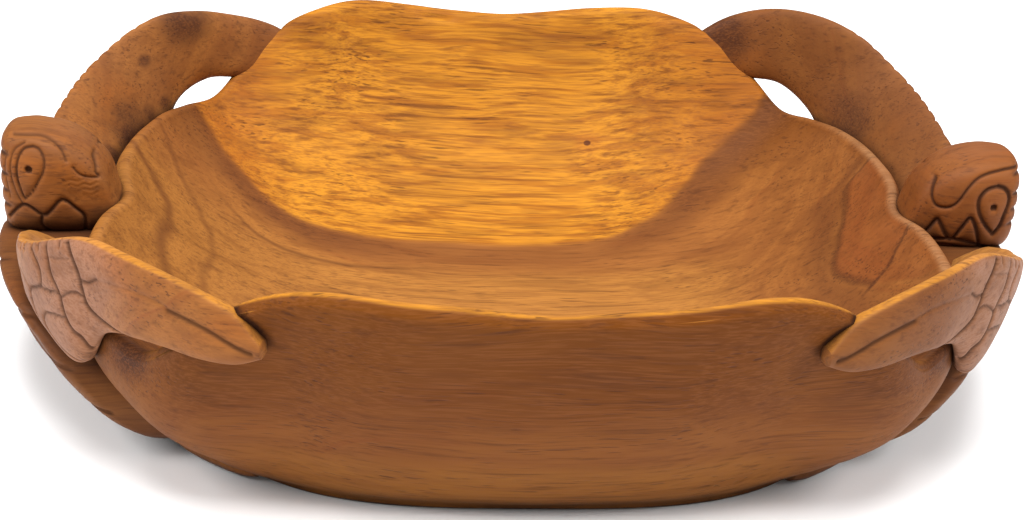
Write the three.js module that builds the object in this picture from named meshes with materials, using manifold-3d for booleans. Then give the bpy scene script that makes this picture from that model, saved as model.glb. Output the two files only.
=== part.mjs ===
// Fruit bowl carved in wood, with a sea turtle hugging each end.
// Millimetres, +Z up. The foot stands on z = 0, the turtles' heads point along +X and -X.
import * as THREE from "three";
import { mergeVertices } from "three/addons/utils/BufferGeometryUtils.js";
import Module from "manifold-3d";

// Gap left between a carved member and its neighbour
const CLEARANCE = 0.3;

// Rim, measured on the crest at the middle of the ends and of the sides
const RIM_LENGTH = 274;
const RIM_WIDTH = 282;
const END_HEIGHT = 60;
const SIDE_HEIGHT = 86.5;

// Walls and bottom
const SIDE_WALL = 5.5;
const END_WALL = 7;
const FLOOR_THICKNESS = 13;
const FOOT_LENGTH = 222;
const FOOT_WIDTH = 215;
const FOOT_ROUNDING = 2.5;
const RIM_INNER_DROP = 1.9; // how far the hollow's edge lies below the crest

// Turtle's back
const SHELL_WIDTH = 162;
const SHELL_BELOW_RIM = 9;
const SHELL_ABOVE_TABLE = 1.5;
const SHELL_REACH = 40.6; // beyond the rim's end
const SHELL_CURL = 29; // how far its sides curl back
const SHELL_EDGE = 2.5; // rounding of its edge
const SHELL_THINNEST = 4; // at its edge, from the plane that it starts at

// Head
const HEAD_LENGTH = 41.6; // beyond the crest of the rim
const HEAD_RISE = 26; // above the crest
const HEAD_DROP = 12.5; // below the crest
const HEAD_WIDTH = 31.2;

// Fore flippers
const FRONT_FLIPPER_REACH = 24.6; // out from the rim at the shoulder
const FRONT_FLIPPER_RISE = 33; // top of the arch over the rim
const BACK_FLIPPER_REACH = 33.6;
const BACK_FLIPPER_RISE = 37.5;
const FLIPPER_DROP = 18; // how far its ends run down below the rim
const FLIPPER_EDGE = 6.4; // thickness along the top edge

// Hind flippers
const HIND_FLIPPER_REACH = 11; // out from the foot where it leaves the shell
const HIND_FLIPPER_MIDDLE = 6.5; // above the table there
const HIND_FLIPPER_HEIGHT = 10;
const HIND_FLIPPER_THICKNESS = 12;

const END_DOME = 1.2; // rounding of the ends of heads and flippers

// Crest over one quarter, from the middle of an end to the middle of a side: shares of half
// the length, of half the width and of the rise from the ends to the sides
const RIM_SHAPE = [
  [1, 0, 0],
  [1.029, 0.149, 0.06],
  [1.033, 0.348, 0.04],
  [0.993, 0.56, 0],
  [0.932, 0.687, -0.056],
  [0.852, 0.781, -0.08],
  [0.768, 0.866, 0.33],
  [0.668, 0.919, 0.815],
  [0.554, 0.952, 1.085],
  [0.438, 0.985, 1.18],
  [0.288, 1.005, 1.12],
  [0.144, 1.003, 1.05],
  [0, 1, 1],
];
const RIM_STEPS = 3; // facets between two places on the rim
const RIM_INSIDE = 0.5; // share of the side wall that lies inside the crest
const RIM_FALL = 1.1; // how steeply the rim falls outward from the crest
const TANGENT_STEP = 0.05; // between the two points that a direction is taken from

// Outer wall: share of its height, then share of the way out from foot to rim, at the ends and
// at the sides
const WALL_SHAPE = [
  [0, 0, 0],
  [0.12, 0.22, 0.17],
  [0.28, 0.5, 0.37],
  [0.45, 0.74, 0.56],
  [0.62, 0.9, 0.72],
  [0.8, 0.99, 0.87],
  [1, 1, 1],
];
const HOLLOW_POWER = { end: 3.6, side: 5 }; // how steeply the hollow rises
const FOOT_POWER = 3.1; // 2 is an ellipse, more is squarer

// Half outline of the turtle's back: shares of half its width and of its height
const SHELL_OUTLINE = [
  [0, 1],
  [0.27, 1],
  [0.49, 0.97],
  [0.765, 0.84],
  [0.926, 0.636],
  [1, 0.394],
  [0.963, 0.15],
  [0.79, 0.03],
  [0.444, 0],
  [0, 0],
];
// How far out it stands: share of the end's height, and share of the way from foot to furthest
const SHELL_PROFILE = [
  [0, 0.2],
  [0.05, 0.39],
  [0.133, 0.562],
  [0.233, 0.705],
  [0.333, 0.801],
  [0.467, 0.886],
  [0.6, 0.938],
  [0.733, 0.986],
  [0.867, 1],
];
const SHELL_CENTRE = 0.515; // share of its height that it is domed about
const SHELL_ROOT = 3; // depth that it starts inside the foot's outline

// Head from neck to nose: share of its length, shares of its rise at its top and of its drop at
// its bottom, and share of its width
const HEAD_SHAPE = [
  [0.045, -0.1, 1.05, 0.5],
  [0.095, 0.23, 1.03, 0.62],
  [0.145, 0.5, 1, 0.7],
  [0.24, 0.71, 0.98, 0.8],
  [0.39, 0.88, 0.96, 0.92],
  [0.54, 0.97, 0.95, 0.99],
  [0.7, 1.02, 0.94, 1],
  [0.81, 1.02, 0.92, 0.965],
  [0.9, 1, 0.88, 0.89],
  [0.96, 0.93, 0.76, 0.76],
  [0.99, 0.8, 0.52, 0.58],
  [1, 0.52, 0.08, 0.32],
];
const HEAD_POWER = 3;

// Fore flipper from shoulder to tip: place along the rim in RIM_SHAPE, then out and up for the
// top edge, the outer lower edge and the inner lower edge. Out is a share of the reach, up a
// share of the rise, or of the drop where it is below the rim
const FLIPPER_SHAPE = [
  [1.12, [1.0, -0.34], [0.82, -0.74], [0.12, -0.85]],
  [1.76, [0.9, 0.1], [0.8, -0.68], [0.1, -0.82]],
  [2.32, [0.84, 0.32], [0.81, -0.92], [0.08, -0.85]],
  [2.9, [0.72, 0.57], [0.5, -1.2], [0.06, -0.95]],
  [3.5, [0.54, 0.83], [0.38, -0.92], [0.05, -0.78]],
  [4.18, [0.35, 0.99], [0.28, 0], [0.08, 0.03]],
  [5.08, [0.25, 0.98], [0.31, 0.17], [0.05, 0.2]],
  [5.84, [0.14, 0.69], [0.25, -0.04], [-0.09, -0.1]],
  [6.62, [0.09, 0.29], [0.24, -0.62], [-0.12, -0.7]],
  [7.25, [0.05, -0.11], [0.22, -1], [-0.12, -0.98]],
  [7.74, [0.07, -0.75], [0.18, -1.02], [-0.06, -1.02]],
];
const FLIPPER_POWER = 2.9;

// Hind flipper from the shell to its tip: turn about the foot from the shell's edge in degrees,
// then shares of its reach, of the height of its middle, and of its height and thickness
const HIND_FLIPPER_SHAPE = [
  [-10, 1, 1.05, 0.9, 0.83],
  [-4, 0.64, 1, 1, 1],
  [2.5, 0.3, 0.93, 1, 1],
  [9, 0.09, 0.85, 0.92, 0.92],
  [12.5, 0.04, 0.77, 0.62, 0.67],
];

const add = (a, b, k = 1) => a.map((v, i) => v + b[i] * k);
const lerp = (a, b, t) => a + (b - a) * t;
const rounded = (v, power) => Math.sign(v) * Math.abs(v) ** (2 / power);
const reversed = (rings) => rings.map((ring) => [...ring].reverse());

function smooth(from, to, v) {
  const t = Math.min(1, Math.max(0, (v - from) / (to - from)));
  return t * t * (3 - 2 * t);
}

// Point of a smooth curve through stations of any width, at s counted in stations
function spline(stations, s) {
  const last = stations.length - 1;
  const i = Math.min(last - 1, Math.max(0, Math.floor(s)));
  const t = s - i;
  const at = (k) => stations[Math.min(last, Math.max(0, k))];
  const [a, b, c, d] = [at(i - 1), at(i), at(i + 1), at(i + 2)];
  return b.map(
    (v, k) =>
      v +
      (t / 2) *
        (c[k] - a[k] +
          t * (2 * a[k] - 5 * v + 4 * c[k] - d[k] + t * (3 * (v - c[k]) + d[k] - a[k]))),
  );
}

// Row of a table at v, by its first column
function lookUp(table, v) {
  let i = 0;
  while (i < table.length - 2 && table[i + 1][0] < v) i++;
  const t = (v - table[i][0]) / (table[i + 1][0] - table[i][0]);
  return spline(table, i + t);
}

// Stations of a half mirrored on to the other side and closed, with a lead-in for the spline
function closedLoop(half, mirror) {
  const full = [...half, ...half.slice(1, -1).reverse().map(mirror)];
  return { stations: [full.at(-1), ...full, full[0], full[1]], count: full.length };
}

// Ring of points around a cross-section, from its unit width and unit height
function around(count, power, point) {
  const ring = [];
  for (let i = 0; i < count; i++) {
    const a = (i / count) * 2 * Math.PI;
    ring.push(point(rounded(Math.cos(a), power), rounded(Math.sin(a), power)));
  }
  return ring;
}

// Closed skin over rings of equal length, with a pole before the first and after the last ring
function skin(rings, firstPole, lastPole) {
  const n = rings[0].length;
  const position = [...firstPole, ...rings.flat(2), ...lastPole];
  const end = 1 + rings.length * n;
  const index = [];
  for (let i = 0; i < n; i++) {
    const j = (i + 1) % n;
    index.push(0, 1 + j, 1 + i);
    for (let k = 0; k + 1 < rings.length; k++) {
      const a = 1 + k * n + i;
      const b = 1 + k * n + j;
      index.push(a, b, a + n, b, b + n, a + n);
    }
    index.push(end, end - n + i, end - n + j);
  }
  const g = new THREE.BufferGeometry();
  g.setAttribute("position", new THREE.Float32BufferAttribute(position, 3));
  g.setIndex(index);
  return g;
}

// Geometry mirrored to another side of the bowl
function mirrored(geometry, sx, sy) {
  const g = geometry.clone();
  const p = g.getAttribute("position");
  for (let i = 0; i < p.count; i++) p.setXYZ(i, p.getX(i) * sx, p.getY(i) * sy, p.getZ(i));
  if (sx * sy < 0) {
    const a = g.index.array;
    for (let i = 0; i < a.length; i += 3) [a[i + 1], a[i + 2]] = [a[i + 2], a[i + 1]];
  }
  return g;
}

const quarter = RIM_SHAPE.map(([x, y, rise]) => [
  (x * RIM_LENGTH) / 2,
  (y * RIM_WIDTH) / 2,
  lerp(END_HEIGHT, SIDE_HEIGHT, rise),
]);
const halfRim = [...quarter, ...quarter.slice(0, -1).reverse().map(([x, y, z]) => [-x, y, z])];
const rim = closedLoop(halfRim, ([x, y, z]) => [x, -y, z]);

// Crest of the rim at a place counted in stations, with the direction out of the bowl in plan
function rimAt(place) {
  const at = (s) => spline(rim.stations, 1 + ((s + rim.count) % rim.count));
  const [x, y, z] = at(place);
  const p = at(place - TANGENT_STEP);
  const q = at(place + TANGENT_STEP);
  const length = Math.hypot(q[0] - p[0], q[1] - p[1]);
  return { x, y, z, out: [(q[1] - p[1]) / length, (p[0] - q[0]) / length] };
}

// Foot's outline in plan at a turn about the bowl's centre
function footAt(turn) {
  return [
    (FOOT_LENGTH / 2) * rounded(Math.cos(turn), FOOT_POWER),
    (FOOT_WIDTH / 2) * rounded(Math.sin(turn), FOOT_POWER),
  ];
}

// The bowl itself, grown by a clearance when it serves as a cutter
function bowlGeometry(grow = 0) {
  const stations = [];
  for (let i = 0; i < rim.count * RIM_STEPS; i++) {
    const crest = rimAt(i / RIM_STEPS);
    const turn = Math.atan2(crest.y / RIM_WIDTH, crest.x / RIM_LENGTH);
    const side = smooth(0.35, 0.72, Math.abs(crest.y) / (RIM_WIDTH / 2));
    stations.push({
      ...crest,
      outside: lerp(END_WALL, SIDE_WALL, side) - SIDE_WALL * RIM_INSIDE,
      foot: footAt(turn),
      endness: 1 - smooth(0.66, 0.9, Math.abs(Math.sin(turn))),
    });
  }
  // Ring over the crest, from -1 at its inner edge to 1 at its outer edge
  const crestRing = (share) =>
    stations.map(({ x, y, z, out, outside }) => {
      const u = share * (grow + (share < 0 ? SIDE_WALL * RIM_INSIDE : outside));
      const drop = share < 0 ? RIM_INNER_DROP * share ** 2 : RIM_FALL * outside * share ** 3;
      return [x + out[0] * u, y + out[1] * u, z - drop + grow];
    });
  const floor = FLOOR_THICKNESS + grow;
  const innerEdge = crestRing(-1);
  const rings = [0.22, 0.42, 0.58, 0.7, 0.8, 0.88, 0.94, 0.98].map((share) =>
    innerEdge.map(([x, y, z], i) => {
      const power = lerp(HOLLOW_POWER.side, HOLLOW_POWER.end, stations[i].endness);
      return [x * share, y * share, lerp(floor, z, share ** power)];
    }),
  );
  rings.push(innerEdge, crestRing(-0.7), crestRing(-0.2), crestRing(0.35), crestRing(0.75));
  const outerEdge = crestRing(1);
  for (const share of [1, 0.9, 0.78, 0.64, 0.5, 0.36, 0.22, 0.1])
    rings.push(
      outerEdge.map(([x, y, z], i) => {
        const { foot, out, endness } = stations[i];
        const [, end, side] = lookUp(WALL_SHAPE, share);
        const way = lerp(side, end, endness);
        const [fx, fy] = add(foot, out, grow);
        return [lerp(fx, x, way), lerp(fy, y, way), z * share];
      }),
    );
  for (const [inset, z] of [[0.15, 0.4], [1, 0]])
    rings.push(
      stations.map(({ foot }) => {
        const size = Math.hypot(...foot);
        const k = (size - inset * FOOT_ROUNDING + grow) / size;
        return [foot[0] * k, foot[1] * k, z * FOOT_ROUNDING - (z ? 0 : grow)];
      }),
    );
  return skin(reversed(rings), [0, 0, floor], [0, 0, -grow]);
}

// Turtle's back on the +X end
function shellGeometry(grow = 0) {
  const top = END_HEIGHT - SHELL_BELOW_RIM;
  const centre = lerp(SHELL_ABOVE_TABLE, top, SHELL_CENTRE);
  const root = FOOT_LENGTH / 2 - SHELL_ROOT;
  const half = SHELL_OUTLINE.map(([y, z]) => [
    (y * SHELL_WIDTH) / 2,
    lerp(SHELL_ABOVE_TABLE, top, z),
  ]);
  const loop = closedLoop(half, ([y, z]) => [-y, z]);
  const outline = [];
  for (let i = 0; i < loop.count * 2; i++) {
    const [y, z] = spline(loop.stations, 1 + i / 2);
    const size = Math.hypot(y, z - centre);
    outline.push({ y, z, wide: (grow * y) / size, high: (grow * (z - centre)) / size });
  }
  const surface = (y, z) => {
    const way = lookUp(SHELL_PROFILE, z / END_HEIGHT)[1];
    const curl = SHELL_CURL * (y / (SHELL_WIDTH / 2)) ** 2;
    return lerp(FOOT_LENGTH / 2, RIM_LENGTH / 2 + SHELL_REACH, way) - curl;
  };
  const ring = (share, sink) =>
    outline.map((p) => {
      const y = p.y * share;
      const z = lerp(centre, p.z, share);
      return [Math.max(surface(y, z) - sink, root + SHELL_THINNEST) + grow, y + p.wide, z + p.high];
    });
  const rings = [outline.map((p) => [root, p.y + p.wide, p.z + p.high])];
  rings.push(ring(1, SHELL_EDGE), ring(0.985, SHELL_EDGE * 0.3), ring(0.94, 0));
  for (const share of [0.8, 0.62, 0.42, 0.2]) rings.push(ring(share, 0));
  return skin(reversed(rings), [root, 0, centre], [surface(0, centre) + grow, 0, centre]);
}

// Pole beyond the first of two rings, for a slightly domed end
function dome(first, second) {
  const middle = (ring) => ring.reduce((a, b) => add(a, b)).map((v) => v / ring.length);
  const [a, b] = [middle(first), middle(second)];
  return add(a, add(a, b, -1), END_DOME / Math.hypot(...add(a, b, -1)));
}

// Head over the +X end
function headGeometry(grow = 0) {
  const rings = [];
  for (let s = 0; s < HEAD_SHAPE.length; s++) {
    const [along, rise, drop, wide] = HEAD_SHAPE[s];
    const x = RIM_LENGTH / 2 + along * HEAD_LENGTH;
    const top = END_HEIGHT + rise * HEAD_RISE + grow;
    const bottom = END_HEIGHT - drop * HEAD_DROP - grow;
    const w = (wide * HEAD_WIDTH) / 2 + grow;
    const [z, h] = [(top + bottom) / 2, (top - bottom) / 2];
    rings.push(around(22, HEAD_POWER, (c, u) => [x, w * c, z + h * u]));
  }
  const nose = add(dome(rings.at(-1), rings.at(-2)), [grow, 0, 0]);
  return skin(rings, dome(rings[0], rings[1]), nose);
}

// Fore flipper at the +X, +Y corner, an arch over the rim whose tip lies on the side wall
function flipperGeometry(reachOut, riseUp) {
  const stations = FLIPPER_SHAPE.map(([place, ...edges]) => {
    const { x, y, z, out } = rimAt(place);
    return edges.flatMap(([reach, rise]) => {
      const u = reach * reachOut;
      return [x + out[0] * u, y + out[1] * u, z + rise * (rise < 0 ? FLIPPER_DROP : riseUp)];
    });
  });
  const section = (s, scale) => {
    const v = spline(stations, s);
    const [top, outer, inner] = [v.slice(0, 3), v.slice(3, 6), v.slice(6, 9)];
    const low = add(outer, inner).map((c) => c / 2);
    const centre = add(top, low).map((c) => c / 2);
    const rise = add(top, centre, -1);
    const across = add(outer, inner, -1);
    const full = Math.hypot(...across);
    return around(16, FLIPPER_POWER, (c, u) => {
      const width = (lerp(full, FLIPPER_EDGE, (u + 1) / 2) / 2) * c;
      return add(add(centre, rise, u * scale), across, (width * scale) / full);
    });
  };
  const last = stations.length - 1;
  const rings = [section(0, 0.75)];
  for (let s = 0.5; s <= last; s += 0.5) rings.push(section(s, 1));
  return skin(reversed(rings), dome(rings[0], rings[1]), dome(rings.at(-1), rings.at(-2)));
}

// Hind flipper at the +X, +Y corner, low on the wall beside the shell
function hindFlipperGeometry() {
  const edge = Math.atan2(SHELL_WIDTH, FOOT_LENGTH);
  const stations = HIND_FLIPPER_SHAPE.map(([degrees, reach, middle, high, wide]) => {
    const turn = edge + THREE.MathUtils.degToRad(degrees);
    const [p, q] = [footAt(turn - TANGENT_STEP / 5), footAt(turn + TANGENT_STEP / 5)];
    const length = Math.hypot(q[0] - p[0], q[1] - p[1]);
    const out = [(q[1] - p[1]) / length, (p[0] - q[0]) / length];
    const [x, y] = add(footAt(turn), out, reach * HIND_FLIPPER_REACH);
    const half = [(high * HIND_FLIPPER_HEIGHT) / 2, (wide * HIND_FLIPPER_THICKNESS) / 2];
    return [x, y, middle * HIND_FLIPPER_MIDDLE, ...out, ...half];
  });
  const rings = [];
  for (let s = 0; s <= stations.length - 1; s += 0.5) {
    const [x, y, z, ox, oy, h, w] = spline(stations, s);
    rings.push(around(14, 2, (c, u) => [x + ox * w * c, y + oy * w * c, z + h * u]));
  }
  return skin(reversed(rings), dome(rings[0], rings[1]), dome(rings.at(-1), rings.at(-2)));
}

const wasm = await Module();
wasm.setup();

function solid(geometry) {
  const g = mergeVertices(geometry, 1e-4);
  return new wasm.Manifold(
    new wasm.Mesh({
      numProp: 3,
      vertProperties: g.getAttribute("position").array,
      triVerts: new Uint32Array(g.index.array),
    }),
  );
}

// Geometry of a solid's largest body
function largest(shape) {
  const body = shape.decompose().reduce((a, b) => (b.volume() > a.volume() ? b : a));
  const mesh = body.getMesh();
  const g = new THREE.BufferGeometry();
  g.setAttribute("position", new THREE.BufferAttribute(new Float32Array(mesh.vertProperties), 3));
  g.setIndex(new THREE.BufferAttribute(new Uint32Array(mesh.triVerts), 1));
  return g;
}

// Each member is cut by the ones it grows out of
const bowlCutter = solid(bowlGeometry(CLEARANCE));
const shellCutter = solid(shellGeometry(2 * CLEARANCE));
const headCutter = solid(headGeometry(CLEARANCE));
const cut = (geometry, ...cutters) =>
  largest(cutters.reduce((shape, cutter) => shape.subtract(cutter), solid(geometry)));
const shell = cut(shellGeometry(), bowlCutter);
const head = cut(headGeometry(), bowlCutter, shellCutter);
const foreFlipper = (reach, rise) =>
  cut(flipperGeometry(reach, rise), bowlCutter, shellCutter, headCutter);
const frontFlipper = foreFlipper(FRONT_FLIPPER_REACH, FRONT_FLIPPER_RISE);
const backFlipper = foreFlipper(BACK_FLIPPER_REACH, BACK_FLIPPER_RISE);
const hindFlipper = cut(hindFlipperGeometry(), bowlCutter, shellCutter);

const group = new THREE.Group();
group.name = "fruit_bowl";

function node(name, geometry, color) {
  const material = new THREE.MeshStandardMaterial({ color, roughness: 0.55, metalness: 0 });
  material.name = `${name}_wood`;
  const mesh = new THREE.Mesh(geometry, material);
  mesh.name = name;
  geometry.computeVertexNormals();
  group.add(mesh);
}

node("bowl", bowlGeometry(), 0xb0692a);
for (const [end, sx] of [["left", -1], ["right", 1]]) {
  node(`${end}_shell`, mirrored(shell, sx, 1), 0x7a3d1c);
  node(`${end}_head`, mirrored(head, sx, 1), 0x94501f);
  for (const [side, sy, flipper] of [["front", -1, frontFlipper], ["back", 1, backFlipper]]) {
    node(`${end}_${side}_fore_flipper`, mirrored(flipper, sx, sy), 0xa86430);
    node(`${end}_${side}_hind_flipper`, mirrored(hindFlipper, sx, sy), 0x8a4a20);
  }
}

export default group;
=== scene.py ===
import math

import bpy
import numpy as np
from mathutils import Matrix, Vector


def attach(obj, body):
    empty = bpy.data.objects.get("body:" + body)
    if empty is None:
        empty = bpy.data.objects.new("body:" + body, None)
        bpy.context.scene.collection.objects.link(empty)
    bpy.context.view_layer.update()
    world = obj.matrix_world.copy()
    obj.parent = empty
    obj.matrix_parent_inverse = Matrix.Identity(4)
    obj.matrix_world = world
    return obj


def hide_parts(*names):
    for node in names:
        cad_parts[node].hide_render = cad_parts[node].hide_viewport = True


MM = 0.001

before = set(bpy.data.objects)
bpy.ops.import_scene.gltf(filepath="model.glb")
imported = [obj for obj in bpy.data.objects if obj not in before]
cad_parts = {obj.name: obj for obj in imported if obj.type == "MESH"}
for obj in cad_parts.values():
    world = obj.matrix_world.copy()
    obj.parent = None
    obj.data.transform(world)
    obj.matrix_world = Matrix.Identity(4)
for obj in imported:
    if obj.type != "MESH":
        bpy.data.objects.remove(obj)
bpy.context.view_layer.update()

# Camera at the photograph's viewpoint, in millimetres and radians
CAMERA_PLACE = (-46.05, -569.69, 303.86)
CAMERA_ELEVATION = 0.43617583
CAMERA_AZIMUTH = -0.07930114
CAMERA_ROLL = 0.05011278
CAMERA_LENS = 61.154
CAMERA_SENSOR = 36

# Main sizes, as in the solids
RIM_LENGTH = 274
RIM_WIDTH = 282
END_HEIGHT = 60
SIDE_HEIGHT = 86.5
SIDE_WALL = 5.5
END_WALL = 7
FLOOR_THICKNESS = 13
FOOT_LENGTH = 222
FOOT_WIDTH = 215
FOOT_ROUNDING = 2.5
SHELL_WIDTH = 162
SHELL_BELOW_RIM = 9
SHELL_ABOVE_TABLE = 1.5
SHELL_CURL = 29
SHELL_EDGE = 3.5
HEAD_LENGTH = 41.6
HEAD_DROP = 12.5
HEAD_WIDTH = 31.2
EYE_BULGE = 0.8
EYE_RADIUS = 6
PUPIL_DEPTH = 1.4
FLIPPER_DROP = 18
FLIPPER_EDGE = 6.4
HIND_FLIPPER_REACH = 11
HIND_FLIPPER_MIDDLE = 6.5
HIND_FLIPPER_HEIGHT = 10
HIND_FLIPPER_THICKNESS = 12
HAND_UNEVENNESS = 0.35

# Which way each end lies along X, and each side along Y
END_SIGN = {"left": -1, "right": 1}
SIDE_SIGN = {"front": -1, "back": 1}

# Sizes that the carver's hand made differ from end to end: how far out the shell stands, how high
# the head rises, and the reach, rise and tip's shift along the rim of each fore flipper
SHELL_REACH = {"left": 43.5, "right": 39}
HEAD_RISE = {"left": 26.8, "right": 24.6}
FLIPPER_SIZES = {
    "left_front": (25.1, 33.1, 0),
    "right_front": (24.1, 32.8, 0),
    "left_back": (34.3, 35.4, -0.22),
    "right_back": (33, 40, 0.22),
}

# Crest over one quarter, from the middle of an end to the middle of a side: shares of its half
# length and half width, and of its rise from the end's height to the side's
RIM_SHAPE = [
    (1, 0, 0),
    (1.029, 0.149, 0.06),
    (1.033, 0.348, 0.04),
    (0.993, 0.56, 0),
    (0.932, 0.687, -0.056),
    (0.852, 0.781, -0.08),
    (0.768, 0.866, 0.33),
    (0.668, 0.919, 0.815),
    (0.554, 0.952, 1.085),
    (0.438, 0.985, 1.18),
    (0.288, 1.005, 1.12),
    (0.144, 1.003, 1.05),
    (0, 1, 1),
]
# Round over the crest: share of the wall inside it, and how far its two edges fall
RIM_INSIDE = 0.5
RIM_INNER_DROP = 1.9
RIM_FALL = 1.1
# Outer wall from the foot up: share of its height, and of its way out at an end and at a side
WALL_SHAPE = [
    (0, 0, 0),
    (0.12, 0.22, 0.17),
    (0.28, 0.5, 0.37),
    (0.45, 0.74, 0.56),
    (0.62, 0.9, 0.72),
    (0.8, 0.99, 0.87),
    (1, 1, 1),
]
HOLLOW_POWER = {"end": 3.6, "side": 5}
FOOT_POWER = 3.1

# Half the outline of a shell from its top round to its bottom, as shares of its half width and its
# height, and how far out it stands at each share of the end's height
SHELL_OUTLINE = [
    (0, 1),
    (0.27, 1),
    (0.49, 0.97),
    (0.765, 0.84),
    (0.926, 0.636),
    (1, 0.394),
    (0.963, 0.15),
    (0.79, 0.03),
    (0.444, 0),
    (0, 0),
]
SHELL_PROFILE = [
    (0, 0.2),
    (0.05, 0.39),
    (0.133, 0.562),
    (0.233, 0.705),
    (0.333, 0.801),
    (0.467, 0.886),
    (0.6, 0.938),
    (0.733, 0.986),
    (0.867, 1),
]
# Height of its middle and size of its rounded edge as shares, and how far it keeps from the foot
SHELL_CENTRE = 0.515
SHELL_ROUNDING = 0.06
SHELL_ROOT = 1

# Carving of the shell: radius of the field of large plates as a share of the shell's, large plates
# in its height, half width of their middle row, its wave and the ribs' slope as shares of the
# shell's half width, small plates in half of the edge band, and mean radii in millimetres
FIELD_RADIUS = 0.78
PLATES_UP = 2.5
SPINE_HALF = 0.2
SPINE_WAVE = 0.045
RIB_SLOPE = 0.3
EDGE_PLATES = 7
EDGE_RADIUS = 62
SHELL_RADIUS = 38
SHELL_LINE_WIDTH = 0.8
SHELL_LINE_DEPTH = 1.1

# Head from neck to nose: share of its length, shares of its rise at its top and of its drop at
# its bottom, and share of its width
HEAD_SHAPE = [
    (0.045, -0.1, 1.05, 0.5),
    (0.095, 0.23, 1.03, 0.62),
    (0.145, 0.5, 1, 0.7),
    (0.24, 0.71, 0.98, 0.8),
    (0.39, 0.88, 0.96, 0.92),
    (0.54, 0.97, 0.95, 0.99),
    (0.7, 1.02, 0.94, 1),
    (0.81, 1.02, 0.92, 0.965),
    (0.9, 1, 0.88, 0.89),
    (0.96, 0.93, 0.76, 0.76),
    (0.99, 0.8, 0.52, 0.58),
    (1, 0.52, 0.08, 0.32),
]
HEAD_POWER = 3

# Carved lines on a side of each head: out from FACE_START inside the crest, and above the table. A
# line's first two numbers are its width and depth. All keep FACE_MIDDLE from the head's middle
FACE_START = 1
FACE_MIDDLE = 1.5
LEFT_FACE = [
    (0.65, 1.1, [(30, 83), (33, 82.2), (34.8, 79.5), (35.6, 75.5), (35.4, 71), (34.3, 66.5),
                 (33.4, 64.5)]),
    (0.7, 1, [(33.4, 64.5), (31, 67), (28.6, 71), (26.6, 75), (26.3, 79), (27.8, 82), (30, 83)]),
    (0.6, 0.8, [(33, 84), (36.4, 81.5), (37.8, 77), (37.7, 72), (36.3, 66.5), (34.6, 63)]),
    (0.6, 0.7, [(39, 80.5), (40, 76), (39.8, 71), (38.6, 64.5)]),
    (0.7, 0.8, [(37, 85.8), (29, 86), (24, 84.5), (20.5, 81.4), (19, 78)]),
    (0.65, 0.9, [(11, 78.5), (9.8, 75.5), (9.6, 73), (8.8, 71.4), (12, 71.7), (14.8, 73),
                 (16.8, 75.6)]),
    (0.85, 1.4, [(40, 56.5), (34, 62.3), (28, 58.5), (25.6, 59.6), (21, 64.2), (16.6, 60.6),
                 (14, 57), (14.6, 51)]),
    (0.8, 1.2, [(28, 58.8), (28.6, 54), (25.5, 50)]),
]
RIGHT_FACE = [
    (0.7, 1.2, [(40.5, 81.5), (38, 81.8), (34, 81.5), (28.7, 80.3), (24.7, 78.2), (21.7, 74.5),
                (19.5, 70.4), (17.6, 68), (14.8, 66.9), (12, 67.4), (10.3, 70.2), (10.3, 73.5),
                (11.6, 76.8)]),
    (0.5, 0.5, [(26, 87.6), (21.5, 84.6), (16, 83), (12.9, 81.8)]),
    (0.9, 1.6, [(32.6, 76), (29, 74.9), (26.6, 72), (26.3, 68.8), (27.4, 65.3), (29.8, 61.5),
                (33.4, 57.5)]),
    (1, 1.8, [(32.6, 76), (35.4, 75), (37.3, 72.3), (37.4, 69), (36.4, 65), (35.6, 61), (33.6, 57.3)]),
    (0.9, 1.6, [(8, 53.5), (10.6, 58), (12.9, 62), (14.6, 60), (17, 56), (19.2, 54.3), (21.4, 59),
                (24, 63.8), (26, 61.8), (28, 57), (30, 51.5)]),
    (1, 1.6, [(8, 52.3), (13, 54), (21, 54.5), (27, 53), (33, 51)]),
    (0.7, 0.8, [(9, 50.2), (17, 52), (26, 50.5)]),
]
# Fine wavy lines on the left cheek, and a jaw line with crossed lines behind it on the right neck
CHEEK_LINES = [(0.5, 0.4, [(20 - 2.1 * i, z + (0.4 if i % 2 else -0.4)) for i in range(6)])
               for z in (71, 69.2, 67.4, 65.6, 63.8)]
NECK_LINES = [
    *((0.5, 0.6, [(-2 + i, 70 + i), (4 - i / 2, 80 - i)]) for i in (0, 1.6, 3.2)),
    *((0.5, 0.6, [(-2.5 + i, 79 - i), (4, 75 - i)]) for i in (0, 2, 4, 6)),
    (1.1, 1.1, [(6.5, 82), (5.6, 79.6), (3.6, 74.7), (0.6, 68.3), (-3, 58.3)]),
]
FACE_LINES = {"left": LEFT_FACE + CHEEK_LINES, "right": RIGHT_FACE + NECK_LINES}
# Shares of the lines' widths and depths that the heads are cut with
FACE_WIDTHS = 0.66
FACE_DEPTHS = 0.8
PUPIL = {"left": (31.4, 75.4), "right": (31.7, 68.4)}
PUPIL_EDGE = (1.5, 0.8)
# Heights of the notches down the beak's end, their width and depth, and where they begin
BEAK_NOTCHES = (79.5, 72.5, 66.5, 61)
NOTCH = (0.9, 0.9)
BEAK_START = (36, 41)

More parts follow.
